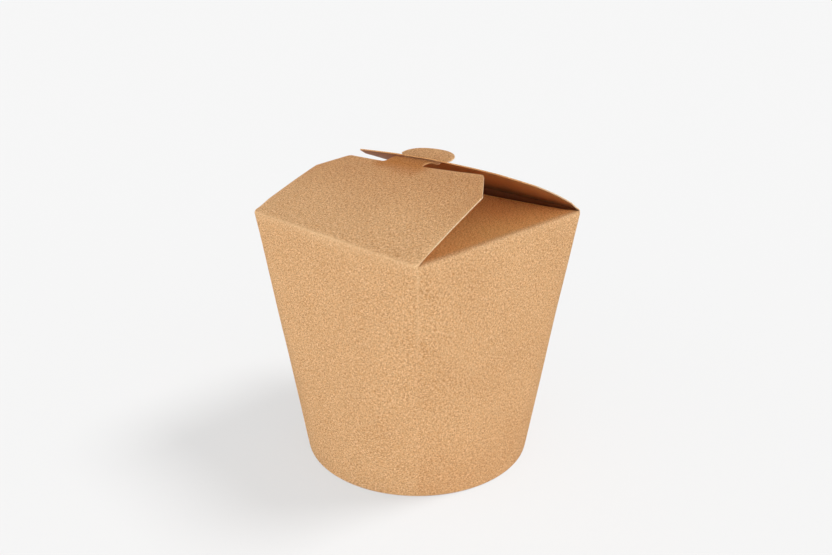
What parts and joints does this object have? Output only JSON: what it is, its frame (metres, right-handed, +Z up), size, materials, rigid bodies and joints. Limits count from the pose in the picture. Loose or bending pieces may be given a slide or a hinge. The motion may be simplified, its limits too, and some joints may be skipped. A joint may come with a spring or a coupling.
{
  "type": "noodle takeaway box",
  "caption": "Shut kraft board noodle takeaway box with a square rim, round base and two roof flaps locked by a tab in a slot.",
  "frame": {"origin": "middle of the base, on the surface that the box stands on", "axes": "+Z up; the square rim's sides run along X and Y; the front flap, which carries the tab, hinges on the -Y side"},
  "size_m": [0.0946, 0.0946, 0.1225],
  "materials": {
    "kraft_board": "matte",
    "base_board": "matte"
  },
  "bodies": {
    "root": {"carton": "kraft_board", "base_disc": "base_board"}
  },
  "joints": []
}
